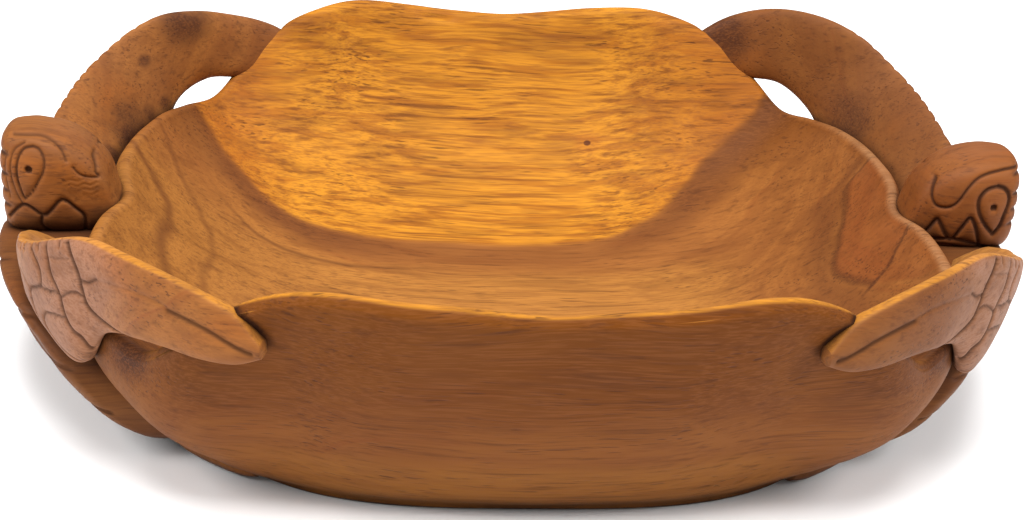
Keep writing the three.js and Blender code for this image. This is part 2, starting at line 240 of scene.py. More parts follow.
# Fore flipper from the shell to its tip: place on the rim in rows of its shape, then the reach and
# rise of its top, outer and inner edges as shares of the flipper's sizes
FLIPPER_SHAPE = [
    (1.12, (1.0, -0.34), (0.82, -0.74), (0.12, -0.85)),
    (1.76, (0.9, 0.1), (0.8, -0.68), (0.1, -0.82)),
    (2.32, (0.84, 0.32), (0.81, -0.92), (0.08, -0.85)),
    (2.9, (0.72, 0.57), (0.5, -1.2), (0.06, -0.95)),
    (3.5, (0.54, 0.83), (0.38, -0.92), (0.05, -0.78)),
    (4.18, (0.35, 0.99), (0.28, 0), (0.08, 0.03)),
    (5.08, (0.25, 0.98), (0.31, 0.17), (0.05, 0.2)),
    (5.84, (0.14, 0.69), (0.25, -0.04), (-0.09, -0.1)),
    (6.62, (0.09, 0.29), (0.24, -0.62), (-0.12, -0.7)),
    (7.25, (0.05, -0.11), (0.22, -1), (-0.12, -0.98)),
    (7.74, (0.07, -0.75), (0.18, -1.02), (-0.06, -1.02)),
]
FLIPPER_POWER = 2.9

# Carved lines on the outer face of a fore flipper, with their width and depth: place along it in
# rows of its shape, and angle round its section, where 90 is its top edge and -90 its lower edge
FLIPPER_LINES = [
    (0.7, 1.1, [(4.55, 66), (4.68, 34), (4.78, 14), (4.79, 0), (4.84, -10), (5.03, -25), (5.5, -54),
                (5.8, -76), (5.9, -84)]),
    (0.7, 1, [(3.8, 60), (3.84, 36), (3.87, 20), (4.02, 5), (4.07, -5), (4.19, -18), (4.43, -40),
              (4.5, -84)]),
    (0.65, 0.9, [(3.2, 62), (3.32, 45), (3.46, 29), (3.42, 16), (3.27, 11)]),
    (0.65, 0.9, [(3.27, 11), (2.86, 7), (2.61, 0), (2.51, -14), (2.6, -34), (2.85, -60), (3, -84)]),
    (0.65, 0.9, [(2.96, -9), (2.91, -16), (2.98, -27), (3.32, -40), (3.75, -56), (4.05, -84)]),
    (0.65, 0.9, [(2.25, 64), (2.1, 30), (1.95, 0), (1.8, -40), (1.8, -82)]),
    (0.65, 0.9, [(1.55, 64), (1.45, 30), (1.3, 0), (1.15, -40), (1.1, -82)]),
    (0.65, 0.8, [(3.27, 11), (3.52, 9), (3.72, 7), (3.95, 6)]),
    (0.65, 0.8, [(2.96, -9), (3.22, -3), (3.67, -3), (4.05, -6)]),
    (0.65, 0.8, [(4.05, 2), (4.27, 3), (4.57, 1), (4.8, -2)]),
    (0.5, 0.5, [(3.85, 42), (4.17, 38), (4.58, 34)]),
    (0.6, 0.7, [(1.98, 5), (2.3, 12), (2.62, 6)]),
    (0.6, 0.7, [(1.8, -34), (2.1, -26), (2.5, -30)]),
    (0.65, 0.8, [(4.8, 7), (5.05, 4), (5.33, 9)]),
    (0.7, 0.35, [(5.4, 9), (6.2, 12), (7, 10), (7.45, 6)]),
    (0.9, 0.85, [(7.34, 4), (7.79, 3), (8.4, 1), (9, -2), (9.6, -10)]),
]
# Short cuts across the top edge, at these places along it
FLIPPER_LINES += [(0.55, 0.8, [(place, 84), (place + 0.02, 58)])
                  for place in (1.9, 2.15, 2.4, 2.62, 2.83, 3.2, 3.48, 3.8, 4.27)]
# The lines fade between these angles, before they reach the inner face
FACE_EDGE = (98, 88)

# Groove in the wall round each tip: where it starts along the flipper's edges, in rows and in steps
# of its path, how far beyond the tip it runs, its width and depth, the share of its depth that
# shows in the shape, and how far out the long wall lies
TIP_START = 7.4
TIP_STEPS = 12
TIP_LOWER_START = 6
TIP_BEYOND = (-1.5, 0, 0)
TIP_GROOVE = (1.8, 1.3)
TIP_GROOVE_SHARE = 0.8
LONG_WALL = 118

# Hind flipper from the shell to its tip: turn about the foot from the shell's edge in degrees,
# then shares of its reach, of the height of its middle, and of its height and thickness
HIND_FLIPPER_SHAPE = [
    (-10, 1, 1.05, 0.9, 0.83),
    (-4, 0.64, 1, 1, 1),
    (2.5, 0.3, 0.93, 1, 1),
    (9, 0.09, 0.85, 0.92, 0.92),
    (12.5, 0.04, 0.77, 0.62, 0.67),
]

# Points that close the root and the tip of a flipper, from the middle of its first and last ring
FLIPPER_ENDS = np.array([(0.3, -1, 0), (-1.2, 0, -0.3)])
HIND_FLIPPER_ENDS = np.array([(1, -1, 0), (-1, 0.8, 0)])
NOSE_END = 0.3

# Rings of each mesh, and points round a ring. The rim and the shell's outline have steps instead,
# from each row of their tables to the next
HOLLOW_RINGS, CREST_RINGS, WALL_RINGS, FOOT_RINGS = 64, 19, 50, 6
SHELL_ROOT_RINGS, SHELL_EDGE_RINGS, SHELL_RINGS = 14, 8, 60
HEAD_RINGS, HEAD_POINTS = 150, 300
FLIPPER_RINGS, FLIPPER_POINTS = 300, 164
HIND_FLIPPER_RINGS, HIND_FLIPPER_POINTS = 60, 72
RIM_STEPS = 13
SHELL_STEPS = 16
CURVE_STEPS = 6


# Value a share t of the way from a to b
def lerp(a, b, t):
    return a + (b - a) * t


# Smooth step from 0 at start to 1 at end
def smooth(start, end, value):
    t = np.clip((np.asarray(value, float) - start) / (end - start), 0, 1)
    return t * t * (3 - 2 * t)


# Sine or cosine bent so that a circle becomes a rounded box
def rounded(v, power):
    return np.sign(v) * np.abs(v) ** (2 / power)


# Points of a smooth curve through rows of numbers, at s counted in rows
def spline(rows, s):
    rows = np.asarray(rows, float)
    s = np.asarray(s, float)
    last = len(rows) - 1
    i = np.clip(np.floor(s).astype(int), 0, last - 1)
    t = (s - i)[..., None]
    a, b, c, d = (rows[np.clip(i + k, 0, last)] for k in (-1, 0, 1, 2))
    bend = 2 * a - 5 * b + 4 * c - d + t * (3 * (b - c) + d - a)
    return b + t / 2 * (c - a + t * bend)


# Rows of a table at the values v of its first column
def look_up(table, v):
    keys = [row[0] for row in table]
    return spline(table, np.interp(v, keys, range(len(keys))))


# Rows of a half mirrored on to the other side, so that a spline can run all the way round
def closed_loop(half, mirror):
    full = [*half, *(mirror(p) for p in half[-2:0:-1])]
    return [full[-1], *full, full[0], full[1]], len(full)


QUARTER = [
    (x * RIM_LENGTH / 2, y * RIM_WIDTH / 2, lerp(END_HEIGHT, SIDE_HEIGHT, rise))
    for x, y, rise in RIM_SHAPE
]
RIM, RIM_COUNT = closed_loop(
    QUARTER + [(-x, y, z) for x, y, z in QUARTER[-2::-1]], lambda p: (p[0], -p[1], p[2])
)


# Crest of the rim at places counted in rows, with the direction out of the bowl in plan
def rim_at(place):
    def at(s):
        return spline(RIM, 1 + np.mod(s + RIM_COUNT, RIM_COUNT))

    place = np.asarray(place, float)
    along = at(place + 0.05) - at(place - 0.05)
    out = np.stack([along[..., 1], -along[..., 0]], -1)
    return at(place), out / np.linalg.norm(out, axis=-1, keepdims=True)


# Edge of the foot in plan
def foot_at(turn):
    x = FOOT_LENGTH / 2 * rounded(np.cos(turn), FOOT_POWER)
    return np.stack([x, FOOT_WIDTH / 2 * rounded(np.sin(turn), FOOT_POWER)], -1)


# Slight unevenness that hand carving leaves
def hand(points):
    x, y, z = points[..., 0], points[..., 1], points[..., 2]
    return HAND_UNEVENNESS * (
        np.sin(x / 17 + 1.3 * np.sin(y / 23)) * np.sin(y / 19 + z / 15)
        + 0.5 * np.sin(x / 7.5 + y / 11 + 2) * np.sin(z / 9 + y / 8)
    )


# Mesh of rings of equal length with a pole at each end. carved is a depth for each point
def skin(name, rings, first, last, carved=None):
    rows, count = len(rings), len(rings[0])
    points = np.concatenate([[first], np.concatenate(rings), [last]])
    i = np.arange(count)
    j = (i + 1) % count
    start = 1 + count * np.arange(rows - 1)[:, None]
    quads = np.stack([start + i, start + j, start + count + j, start + count + i], -1)
    end = 1 + rows * count
    low = np.stack([np.zeros(count, int), 1 + j, 1 + i], -1)
    high = np.stack([np.full(count, end), end - count + i, end - count + j], -1)
    faces = quads.reshape(-1, 4).tolist() + low.tolist() + high.tolist()
    mesh = bpy.data.meshes.new(name)
    mesh.from_pydata((points * MM).tolist(), [], faces)
    mesh.shade_smooth()
    depth = mesh.attributes.new("carved", "FLOAT", "POINT")
    if carved is not None:
        depth.data.foreach_set("value", np.concatenate([[0], carved.ravel(), [0]]))
    piece = bpy.data.objects.new(name, mesh)
    bpy.context.scene.collection.objects.link(piece)
    return piece


# Normals of a grid of points whose rows are closed rings
def grid_normals(grid):
    along = np.gradient(grid, axis=0)
    around = np.roll(grid, -1, 1) - np.roll(grid, 1, 1)
    n = np.cross(around, along)
    return n / np.maximum(np.linalg.norm(n, axis=-1, keepdims=True), 1e-9)


# Grid turned over to another corner of the bowl, with its faces still pointing out
def mirrored(grid, sx, sy):
    grid = grid * [sx, sy, 1]
    return grid[:, ::-1] if sx * sy < 0 else grid


# Distance of each point from a path of points, in as many numbers as they have
def distance_to(points, path):
    flat = points.reshape(-1, points.shape[-1])
    best = np.full(len(flat), 1e9)
    for a, b in zip(path[:-1], path[1:]):
        ab = b - a
        t = np.clip((flat - a) @ ab / max(ab @ ab, 1e-9), 0, 1)
        best = np.minimum(best, np.linalg.norm(flat - a - t[:, None] * ab, axis=1))
    return best.reshape(points.shape[:-1])


# Depth of a V cut along a path, with a wide soft shoulder on both sides
def cut(distance, width, depth=1.0):
    shoulder = np.exp(-((distance / width / 2.6) ** 2))
    return depth * (0.75 * np.exp(-((distance / width) ** 2)) + 0.25 * shoulder)


# Points along a smooth curve through the points of a path
def curve(path):
    return spline(path, np.arange((len(path) - 1) * CURVE_STEPS + 1) / CURVE_STEPS)


# Grooves in the long walls round the tips of the fore flippers
def tip_grooves(grid):
    depth = np.zeros(grid.shape[:2])
    stations = np.linspace(TIP_START, len(FLIPPER_SHAPE) - 1, TIP_STEPS)
    for corner, size in FLIPPER_SIZES.items():
        end, side = corner.split("_")
        edges = flipper_surface(stations, np.radians([90, -90]), size)
        tip = edges[-1].mean(0) + TIP_BEYOND
        path = [*edges[:, 0], tip, *edges[TIP_LOWER_START:, 1][::-1]]
        path = np.array(path) * [END_SIGN[end], SIDE_SIGN[side], 1]
        depth = np.maximum(depth, cut(distance_to(grid, path), *TIP_GROOVE))
    return depth * smooth(0.5, 3, np.abs(grid[..., 1]) - LONG_WALL)


def make_bowl():
    crest, out = rim_at(np.arange(RIM_COUNT * RIM_STEPS) / RIM_STEPS)
    turn = np.arctan2(crest[:, 1] / RIM_WIDTH, crest[:, 0] / RIM_LENGTH)
    sideness = smooth(0.35, 0.72, np.abs(crest[:, 1]) / (RIM_WIDTH / 2))
    endness = 1 - smooth(0.66, 0.9, np.abs(np.sin(turn)))
    inside = SIDE_WALL * RIM_INSIDE
    outside = lerp(END_WALL, SIDE_WALL, sideness) - inside
    foot = foot_at(turn)

    # Round over the crest: -1 is its inner edge and 1 its outer edge, which lies lower
    def crest_ring(share):
        u = share * np.where(share < 0, inside, outside)
        drop = outside * RIM_FALL * share**3 if share > 0 else RIM_INNER_DROP * share**2
        return np.column_stack([crest[:, :2] + out * u[:, None], crest[:, 2] - drop])

    # The hollow from its middle to the crest, the crest, and the outer wall down to the foot
    inner, outer = crest_ring(-1), crest_ring(1)
    power = lerp(HOLLOW_POWER["side"], HOLLOW_POWER["end"], endness)
    rings = []
    for share in np.linspace(0.03, 1, HOLLOW_RINGS, endpoint=False) ** 0.8:
        height = lerp(FLOOR_THICKNESS, inner[:, 2], share**power)
        rings.append(np.column_stack([inner[:, :2] * share, height]))
    rings += [crest_ring(-math.cos(a)) for a in np.linspace(0, math.pi, CREST_RINGS)]
    for share in np.linspace(1, 0.06, WALL_RINGS)[1:]:
        way = look_up(WALL_SHAPE, share)
        way = lerp(way[2], way[1], endness)[:, None]
        plan = lerp(foot, outer[:, :2], way)
        rings.append(np.column_stack([plan, outer[:, 2] * share]))

    # Rounded edge of the foot, and its flat underside
    size = np.linalg.norm(foot, axis=1, keepdims=True)
    for a in np.linspace(0, math.pi / 2, FOOT_RINGS):
        inset, rise = 1 - math.cos(a), 1 - math.sin(a)
        plan = foot * (size - inset * FOOT_ROUNDING) / size
        rings.append(np.column_stack([plan, np.full(len(plan), rise * FOOT_ROUNDING)]))
    for share in (0.9, 0.7, 0.5, 0.3, 0.1):
        rings.append(np.column_stack([rings[-1][:, :2] * share, np.zeros(len(foot))]))

    grid = np.array(rings)[:, ::-1]
    uneven = hand(grid) * smooth(0, 6, grid[..., 2])
    depth = tip_grooves(grid)
    grid = grid + grid_normals(grid) * (uneven - depth * TIP_GROOVE_SHARE)[..., None]
    return skin("carved_bowl", grid, (0, 0, FLOOR_THICKNESS), (0, 0, 0), depth)


def make_shell(name, sx, reach):
    top = END_HEIGHT - SHELL_BELOW_RIM
    centre = lerp(SHELL_ABOVE_TABLE, top, SHELL_CENTRE)
    half = [(y * SHELL_WIDTH / 2, lerp(SHELL_ABOVE_TABLE, top, z)) for y, z in SHELL_OUTLINE]
    loop, count = closed_loop(half, lambda p: (-p[0], p[1]))
    outline = spline(loop, 1 + np.arange(count * SHELL_STEPS) / SHELL_STEPS)

    # The outline drawn in towards the plate's centre
    def drawn_in(share):
        return outline[:, 0] * share, lerp(centre, outline[:, 1], share)

    # How far out the plate stands
    def surface(y, z):
        way = look_up(SHELL_PROFILE, z / END_HEIGHT)[..., 1]
        curl = SHELL_CURL * (y / (SHELL_WIDTH / 2)) ** 2
        return lerp(FOOT_LENGTH / 2, RIM_LENGTH / 2 + reach, way) - curl

    def plate_ring(share, sink):
        y, z = drawn_in(share)
        return np.column_stack([np.maximum(surface(y, z) - sink, FOOT_LENGTH / 2 + SHELL_ROOT), y, z])

    # Where the plate starts, inside the bowl's wall
    def wall(y, z):
        foot = FOOT_LENGTH / 2 * (1 - np.abs(2 * y / FOOT_WIDTH) ** FOOT_POWER) ** (1 / FOOT_POWER)
        crest = np.interp(np.abs(y), [p[1] for p in QUARTER], [p[0] for p in QUARTER])
        return lerp(foot, crest, look_up(WALL_SHAPE, z / END_HEIGHT)[..., 1])

    def wall_ring(share):
        y, z = drawn_in(share)
        return np.column_stack([wall(y, z), y, z])

    rings = [wall_ring(0.8), wall_ring(1)]
    rings += [lerp(rings[1], plate_ring(1, SHELL_EDGE), t)
              for t in np.linspace(0, 1, SHELL_ROOT_RINGS)[1:-1]]
    rings += [plate_ring(1 - SHELL_ROUNDING * (1 - math.cos(a)), SHELL_EDGE * (1 - math.sin(a)))
              for a in np.linspace(0, math.pi / 2, SHELL_EDGE_RINGS)]
    rings += [plate_ring(share, 0) for share in np.linspace(0.93, 0.02, SHELL_RINGS)]
    grid = np.array(rings)[:, ::-1]
    y, z = grid[..., 1], grid[..., 2]
    outer = smooth(-1.2, 0.6, grid[..., 0] - surface(y, z) + SHELL_EDGE)
    depth = shell_carving(y, z, top) * outer
    grid = grid - grid_normals(grid) * (depth * SHELL_LINE_DEPTH)[..., None]
    grid = grid + grid_normals(grid) * hand(grid)[..., None]
    first, last = (float(at(np.array(0.0), np.array(centre))) for at in (wall, surface))
    return skin(name, mirrored(grid, sx, 1), (first * sx, 0, centre), (last * sx, 0, centre), depth)


# Grooves between the plates of a turtle's back: a row of large ones down the middle, ribs beside
# it and a band of small plates along the edge
def shell_carving(y, z, top):
    height = top - SHELL_ABOVE_TABLE
    v = (z - SHELL_ABOVE_TABLE) / height
    u = np.abs(y) / (SHELL_WIDTH / 2)

    # Distance from the nearest of evenly spaced lines, as a share of their spacing
    def from_line(place):
        return np.abs((place % 1) - 0.5)

    radius = np.hypot(u, (v - 0.5) * 2)
    wave = SPINE_HALF + SPINE_WAVE * np.cos(v * 2 * math.pi * PLATES_UP)
    spine = np.abs(u - wave) * SHELL_WIDTH / 2
    middle = from_line(v * PLATES_UP) / PLATES_UP * height
    ribs = from_line(v * PLATES_UP + 0.5 - RIB_SLOPE * (u - SPINE_HALF)) / PLATES_UP * height
    field = np.minimum(spine, np.where(u < wave, middle, ribs))
    angle = np.arctan2(v - 0.5, u * 0.6)
    edge = from_line(angle / math.pi * EDGE_PLATES) / EDGE_PLATES * math.pi * EDGE_RADIUS
    lines = np.where(radius < FIELD_RADIUS, field, edge)
    return cut(np.minimum(lines, np.abs(radius - FIELD_RADIUS) * SHELL_RADIUS), SHELL_LINE_WIDTH)


def make_head(name, sx, rise, lines, pupil):
    s = np.linspace(0, len(HEAD_SHAPE) - 1, HEAD_RINGS)
    along, up, down, wide = spline(HEAD_SHAPE, s).T[:, :, None]
    top, bottom, half = END_HEIGHT + up * rise, END_HEIGHT - down * HEAD_DROP, wide * HEAD_WIDTH / 2
    a = np.linspace(0, 2 * math.pi, HEAD_POINTS, endpoint=False)
    c, u = rounded(np.cos(a), HEAD_POWER), rounded(np.sin(a), HEAD_POWER)
    x, y = RIM_LENGTH / 2 + along * HEAD_LENGTH, half * c
    z = (top + bottom) / 2 + (top - bottom) / 2 * u
    grid = np.stack(np.broadcast_arrays(x, y, z), -1)

    # Lines on both sides, a bulge with a pupil, and notches down the beak's end
    normals = grid_normals(grid)
    side = np.abs(grid[..., 1]) > FACE_MIDDLE
    face = np.stack([grid[..., 0] - RIM_LENGTH / 2 + FACE_START, grid[..., 2]], -1)
    depth = np.zeros(grid.shape[:2])
    for width, deep, path in lines:
        line = cut(distance_to(face, curve(path)), width * FACE_WIDTHS, deep * FACE_DEPTHS)
        depth = np.maximum(depth, line * side)
    spot = np.linalg.norm(face - pupil, axis=-1)
    depth = np.maximum(depth, PUPIL_DEPTH * smooth(*PUPIL_EDGE, spot) * side)
    beak = smooth(*BEAK_START, face[..., 0])
    for level in BEAK_NOTCHES:
        depth = np.maximum(depth, cut(np.abs(face[..., 1] - level), *NOTCH) * beak)
    bulge = EYE_BULGE * np.exp(-((spot / EYE_RADIUS) ** 2)) * side
    grid = mirrored(grid + normals * (hand(grid) + bulge - depth)[..., None], sx, 1)
    if sx < 0:
        depth = depth[:, ::-1]
    return skin(name, grid, grid[0].mean(0), grid[-1].mean(0) + [NOSE_END * sx, 0, 0], depth)


# Points of a fore flipper at stations s, turned by the angles a round its section. size is its
# reach, its rise and how far its tip is shifted along the rim
def flipper_surface(s, a, size):
    far, high, shift = size
    rows = []
    for i, (place, *edges) in enumerate(FLIPPER_SHAPE):
        crest, out = rim_at(place + shift * i / (len(FLIPPER_SHAPE) - 1))
        row = []
        for reach, rise in edges:
            plan = crest[:2] + out * reach * far
            row += [*plan, crest[2] + rise * (FLIPPER_DROP if rise < 0 else high)]
        rows.append(row)
    v = spline(rows, s)[:, None, :]
    top, outer, inner = v[..., :3], v[..., 3:6], v[..., 6:9]
    low = (outer + inner) / 2
    centre = (top + low) / 2
    across = outer - inner
    full = np.linalg.norm(across, axis=-1, keepdims=True)
    c = rounded(np.cos(a), FLIPPER_POWER)[None, :, None]
    u = rounded(np.sin(a), FLIPPER_POWER)[None, :, None]
    width = lerp(full, FLIPPER_EDGE, (u + 1) / 2) / 2 * c
    return centre + (top - centre) * u + across * width / full


def make_flipper(name, sx, sy, size):
    stations = np.linspace(0, len(FLIPPER_SHAPE) - 1, FLIPPER_RINGS)

    # Turns that lie evenly round the rounded section, with the outer face in their middle
    steps = np.linspace(-math.pi, math.pi, FLIPPER_POINTS, endpoint=False)
    turns = np.degrees(np.arctan2(rounded(np.sin(steps), 4 / FLIPPER_POWER),
                                  rounded(np.cos(steps), 4 / FLIPPER_POWER)))
    middle = len(turns) // 2
    grid = flipper_surface(stations, np.radians(turns), size)

    # The lines are drawn on the surface spread out flat, in millimetres
    along = np.linalg.norm(np.diff(grid[:, middle], axis=0), axis=1).cumsum()
    along = np.concatenate([[0], along])
    around = np.linalg.norm(np.roll(grid, -1, 1) - grid, axis=2)
    around = np.cumsum(around, axis=1) - around
    around -= around[:, middle:middle + 1]
    flat = np.stack([np.repeat(along[:, None], len(turns), 1), around], -1)

    def spread(path):
        path = curve(path)
        rows = np.interp(path[:, 0], stations, np.arange(len(stations)))
        columns = np.interp(path[:, 1], turns, np.arange(len(turns)))
        r = np.minimum(rows.astype(int), len(stations) - 2)
        q = np.minimum(columns.astype(int), len(turns) - 2)
        low = lerp(around[r, q], around[r, q + 1], columns - q)
        high = lerp(around[r + 1, q], around[r + 1, q + 1], columns - q)
        return np.stack([np.interp(path[:, 0], stations, along), lerp(low, high, rows - r)], -1)

    depth = np.zeros(grid.shape[:2])
    for width, deep, path in FLIPPER_LINES:
        depth = np.maximum(depth, cut(distance_to(flat, spread(path)), width, deep))
    depth *= smooth(*FACE_EDGE, np.abs(turns))[None, :]

    # Rings that close the root, a point beyond each end, and the turn to this flipper's corner
    grid, depth = grid[:, ::-1], depth[:, ::-1]
    grid = grid + grid_normals(grid) * (hand(grid) - depth)[..., None]
    start, tip = grid[0].mean(0), grid[-1].mean(0)
    caps = [lerp(start, grid[0], t) + FLIPPER_ENDS[0] * [1, 1 - t, 1] for t in (0.3, 0.6, 0.8, 0.93)]
    grid = mirrored(np.concatenate([caps, grid]), sx, sy)
    depth = np.concatenate([np.zeros((len(caps), len(turns))), depth])
    if sx * sy < 0:
        depth = depth[:, ::-1]
    return skin(name, grid, *(([start, tip] + FLIPPER_ENDS) * [sx, sy, 1]), depth)


def make_hind_flipper(name, sx, sy):
    rows = []
    for degrees, reach, middle, high, wide in HIND_FLIPPER_SHAPE:
        turn = math.atan2(SHELL_WIDTH, FOOT_LENGTH) + math.radians(degrees)
        along = foot_at(turn + 0.01) - foot_at(turn - 0.01)
        out = np.array([along[1], -along[0]]) / np.linalg.norm(along)
        plan = foot_at(turn) + out * reach * HIND_FLIPPER_REACH
        half = high * HIND_FLIPPER_HEIGHT / 2, wide * HIND_FLIPPER_THICKNESS / 2
        rows.append([*plan, middle * HIND_FLIPPER_MIDDLE, *out, *half])
    s = np.linspace(0, len(rows) - 1, HIND_FLIPPER_RINGS)
    x, y, z, ox, oy, h, w = spline(rows, s).T[:, :, None]
    a = np.linspace(0, 2 * math.pi, HIND_FLIPPER_POINTS, endpoint=False)
    c, u = np.cos(a), np.sin(a)
    grid = np.stack([x + ox * w * c, y + oy * w * c, z + h * u], -1)[:, ::-1]
    grid = grid + grid_normals(grid) * hand(grid)[..., None]
    ends = np.array([rows[0][:3], rows[-1][:3]]) + HIND_FLIPPER_ENDS
    return skin(name, mirrored(grid, sx, sy), *(ends * [sx, sy, 1]))


def make_camera():
    e, a = CAMERA_ELEVATION, CAMERA_AZIMUTH
    back = Vector((math.sin(a) * math.cos(e), -math.cos(a) * math.cos(e), math.sin(e)))
    level = Vector((math.cos(a), math.sin(a), 0))
    right = level * math.cos(CAMERA_ROLL) + back.cross(level) * math.sin(CAMERA_ROLL)
    up = back.cross(right)
    camera = bpy.data.objects.new("camera", bpy.data.cameras.new("camera"))
    bpy.context.scene.collection.objects.link(camera)
    camera.matrix_world = Matrix.Translation(Vector(CAMERA_PLACE) * MM) @ Matrix(
        (right, up, back)
    ).transposed().to_4x4()
    camera.data.lens = CAMERA_LENS
    camera.data.sensor_width = CAMERA_SENSOR
    camera.data.clip_start = 0.01
    bpy.context.scene.camera = camera


# Short way to write a node tree
class Tree:
    def __init__(self, material):
        material.use_nodes = True
        self.tree = material.node_tree
        self.tree.nodes.clear()

    def add(self, kind, inputs=None, **settings):
        node = self.tree.nodes.new(kind)
        for key, value in settings.items():
            setattr(node, key, value)
        for key, value in (inputs or {}).items():
            self.put(node.inputs[key], value)
        return node

    def put(self, socket, value):
        if isinstance(value, bpy.types.NodeSocket):
            self.tree.links.new(value, socket)
        else:
            socket.default_value = value

    def math(self, operation, *values, clamp=False):
        node = self.add("ShaderNodeMath", operation=operation, use_clamp=clamp)
        for socket, value in zip(node.inputs, values):
            self.put(socket, value)
        return node.outputs[0]

    def product(self, value, *others):
        for other in others:
            value = self.math("MULTIPLY", value, other)
        return value

    def absolute(self, value):
        return self.math("ABSOLUTE", value)

    def vector(self, operation, *values):
        node = self.add("ShaderNodeVectorMath", operation=operation)
        for socket, value in zip(node.inputs, values):
            self.put(socket, value)
        return node.outputs["Value" if operation == "DISTANCE" else 0]

    def parts(self, vector):
        return self.add("ShaderNodeSeparateXYZ", {0: vector}).outputs

    # Smooth step of a value between low and high, which may run downwards
    def ramp(self, value, low, high, to_low=0.0, to_high=1.0, kind="SMOOTHSTEP"):
        node = self.add("ShaderNodeMapRange", interpolation_type=kind, clamp=True)
        for i, v in enumerate((value, low, high, to_low, to_high)):
            self.put(node.inputs[i], v)
        return node.outputs[0]

    # The same between two lengths in millimetres
    def span(self, value, low, high, to_low=0.0, to_high=1.0):
        return self.ramp(value, low * MM, high * MM, to_low, to_high)

    # Height of a smooth curve drawn through points in millimetres
    def drawn(self, value, points):
        low = [min(p[i] for p in points) * MM for i in (0, 1)]
        high = [max(p[i] for p in points) * MM for i in (0, 1)]
        share = self.ramp(value, low[0], high[0], kind="LINEAR")
        node = self.add("ShaderNodeFloatCurve", {"Value": share})
        line = node.mapping.curves[0]
        spots = [[(p[i] * MM - low[i]) / (high[i] - low[i]) for i in (0, 1)] for p in points]
        line.points[0].location, line.points[-1].location = spots[0], spots[-1]
        for spot in spots[1:-1]:
            line.points.new(*spot)
        node.mapping.update()
        return self.ramp(node.outputs[0], 0, 1, low[1], high[1], kind="LINEAR")

    # Noise with its own number of waves in a metre along each axis
    def noise_node(self, place, waves, detail, roughness):
        stretched = self.vector("MULTIPLY", place, waves)
        return self.add("ShaderNodeTexNoise", {"Vector": stretched, "Scale": 1.0, "Detail": detail,
                                               "Roughness": roughness})

    def noise(self, place, waves, detail=3.0, roughness=0.6):
        return self.noise_node(place, waves, detail, roughness).outputs[0]

    # A colour mixed with another by the product of some shares
    def tint(self, colour, other, *shares):
        node = self.add("ShaderNodeMix", data_type="RGBA")
        for i, value in ((0, self.product(*shares)), (6, colour), (7, other)):
            self.put(node.inputs[i], value)
        return node.outputs[2]

    # Shader with inputs named as on its node, with _ for each space
    def shade(self, **inputs):
        named = {name.replace("_", " "): value for name, value in inputs.items()}
        shader = self.add("ShaderNodeBsdfPrincipled", named)
        self.put(self.add("ShaderNodeOutputMaterial").inputs[0], shader.outputs[0])


# Middle of the tree that the block was cut from, which its rings run round, in millimetres
PITH_Y, PITH_Z = -5, 140
# Waves in a metre: of the rings along the block, out from the pith and along Y, and of the rest
# along the block and across it
RING_WAVES = (5, 95, 4)
FINE_RING_WAVES = (13, 418, 8)
FIBRE_WAVES = (16, 520, 520)
HAIR_WAVES = (60, 1500, 1500)
PORE_WAVES = (85, 1250, 1250)
CLOUD_WAVES = (26, 85, 85)
BLOTCH_WAVES = (12, 34, 34)
STREAK_WAVES = (30, 260, 260)
BROAD_WAVES = (20, 150, 150)
DRIFT_WAVES = (9, 24, 24)
# How far the grain wanders in all, in millimetres
DRIFT_REACH = (18, 12, 12)

# Figure of the wood, in millimetres. Where the pale outer wood begins, as y at each x, a thin dark
# line on the floor in front of it, and dark streaks on the end walls: how far each fades, how
# strong it is, and its x at each y
SAPWOOD = [(-140, 110), (-121, 97), (-110, 88), (-99, 78.7), (-89, 72.7), (-78, 67.5), (-57, 65),
           (-26, 65), (7, 64.5), (40, 67.5), (53, 74), (68.5, 82), (78.6, 89.5), (86, 96),
           (103, 107), (112, 116), (140, 134)]
FLOOR_LINE = [(-125, 78), (-103.4, 52.9), (-92.8, 43.5), (-81, 39), (-64.5, 38), (-48, 39),
              (-26, 40.4), (0, 43), (60, 48)]
STREAKS = [
    (3.52, 0.65, [(-50, -122), (-20, -123.1), (-0.5, -123.6), (18.4, -126.9), (35.5, -133),
                  (46.5, -139.5), (60, -150)]),
    (2.42, 0.4, [(-50, -111), (-1.7, -110.5), (32, -116), (55.7, -123.2), (70.8, -133),
                 (80, -140)]),
    (10.56, 0.55, [(-60, 126), (-23, 115.2), (-7.8, 112.7), (12.5, 113.9), (31, 117.8),
                   (45.8, 123.6), (52, 136), (60, 150)]),
]
# Reddish side branch on the right end wall: its lower edge as x at each y, and the straight split
# above it, y = slope x + start
BRANCH = [(-60, 150), (-29, 124), (-24, 121.5), (-17.4, 119), (-2.9, 117.7), (17, 120.6),
          (29.5, 124), (44.6, 130.8), (49.2, 138.6), (60, 155)]
SPLIT_SLOPE = 1.02
SPLIT_START = -153.2
# Small knot in the pale wood, a little longer along the block
KNOT = (37.4, 112.3, 40)
KNOT_STRETCH = 0.8

